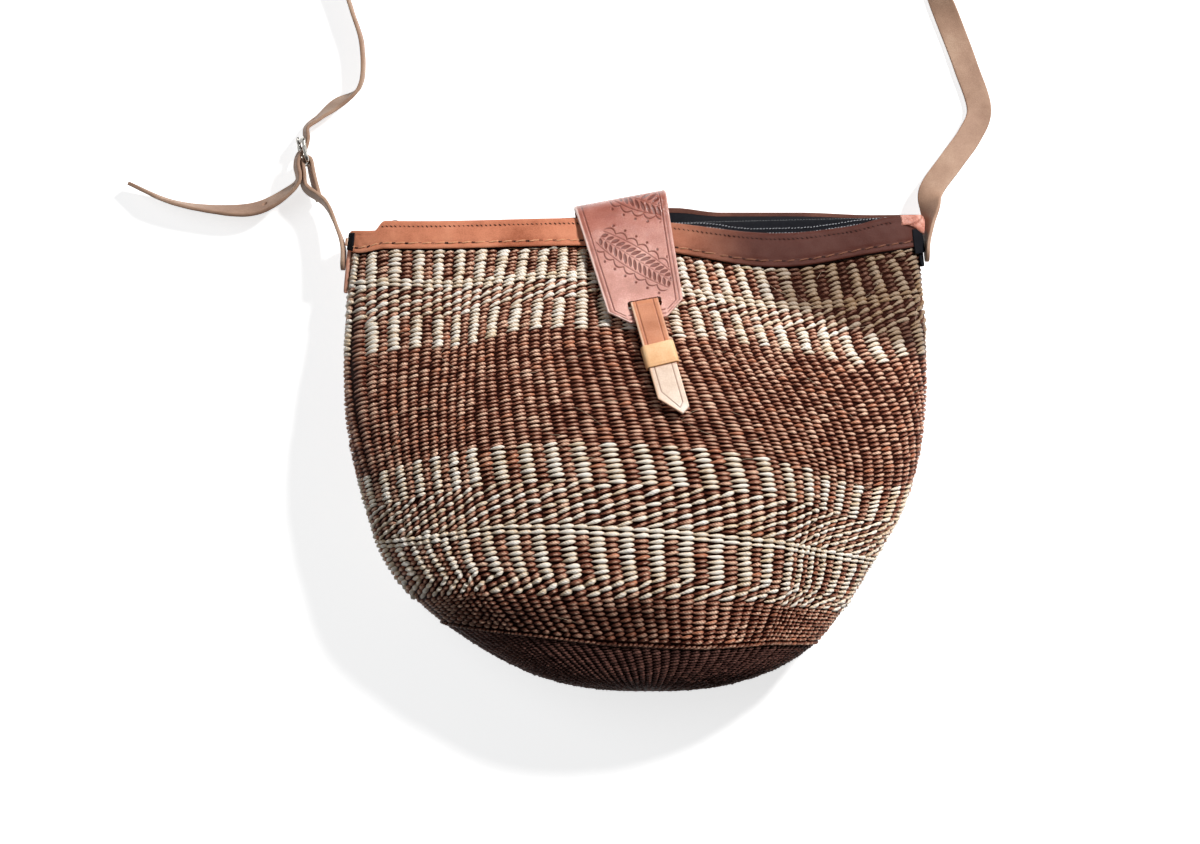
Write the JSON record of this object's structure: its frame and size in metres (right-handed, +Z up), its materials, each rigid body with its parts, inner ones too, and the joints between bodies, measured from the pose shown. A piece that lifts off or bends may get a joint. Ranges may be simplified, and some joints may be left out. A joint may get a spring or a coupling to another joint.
{
  "type": "woven bucket bag",
  "caption": "Twined plant-fibre bucket bag with leather rim, zipped mouth, tooled flap with closure strap and keeper, and a buckled shoulder strap, lying on its back.",
  "frame": {"origin": "middle of the flat back that the bag lies on, level with the surface under it", "axes": "+X to the bag's right as seen from the front, +Y from the base towards the mouth, +Z up, out of the surface it lies on"},
  "size_m": [0.5281, 0.6295, 0.0925],
  "materials": {
    "sisal": "matte twined plant fibre, dark brown with cream rows",
    "rim_leather": "satin",
    "flap_leather": "glossy, tooled",
    "closure_leather": "satin",
    "keeper_leather": "satin",
    "strap_leather": "satin",
    "zip_tape": "matte woven cloth",
    "zip_coil": "satin",
    "nickel": "polished nickel plate"
  },
  "bodies": {
    "bag": {"woven_base": "sisal", "woven_body": "sisal", "rim_band_front": "rim_leather", "rim_band_back": "rim_leather", "corner_tab_right": "rim_leather", "corner_tab_left": "rim_leather", "strap_anchor_right": "strap_leather", "strap_anchor_left": "strap_leather", "zip_tape_front": "zip_tape", "zip_tape_back": "zip_tape", "zip_coil_front": "zip_coil", "zip_coil_back": "zip_coil", "zip_stop_left": "nickel", "zip_stop_right": "nickel", "flap_tail": "flap_leather"},
    "flap": {"flap": "flap_leather", "closure_strap": "closure_leather"},
    "keeper": {"closure_keeper": "keeper_leather"},
    "slider": {"zip_slider": "nickel"},
    "pull": {"zip_pull": "nickel"},
    "shoulder_strap": {"short_strap": "strap_leather", "long_strap": "strap_leather"},
    "buckle": {"buckle_frame": "nickel"},
    "prong": {"buckle_prong": "nickel"}
  },
  "joints": [
    {"name": "flap_lift", "type": "hinge", "parent": "bag", "child": "flap", "pos_m": [-0.0096, 0.145, 0.022], "axis": [-0.9833, -0.1822, 0], "range_deg": [0, 150]},
    {"name": "keeper_slide", "type": "slide", "parent": "flap", "child": "keeper", "axis": [0.2572, -0.9184, 0.3007], "range_m": [-0.003, 0.009]},
    {"name": "zip_slide", "type": "slide", "parent": "bag", "child": "slider", "axis": [0.9997, 0.0233, 0], "range_m": [0, 0.289]},
    {"name": "pull_turn", "type": "hinge", "parent": "slider", "child": "pull", "pos_m": [-0.14506, 0.12972, 0.0245], "axis": [0, 0, 1], "range_deg": [0, 120]},
    {"name": "strap_swing", "type": "hinge", "parent": "bag", "child": "shoulder_strap", "pos_m": [0, 0.11011, 0.02315], "axis": [1, 0.0032, -0.0006], "range_deg": [0, 135]},
    {"name": "buckle_turn", "type": "hinge", "parent": "shoulder_strap", "child": "buckle", "pos_m": [-0.20056, 0.16804, 0.012], "axis": [0.2515, 0.0434, 0.9669], "range_deg": [0, 6]},
    {"name": "prong_lift", "type": "hinge", "parent": "buckle", "child": "prong", "pos_m": [-0.20056, 0.16804, 0.012], "axis": [0.2515, 0.0434, 0.9669], "range_deg": [0, 8]}
  ]
}
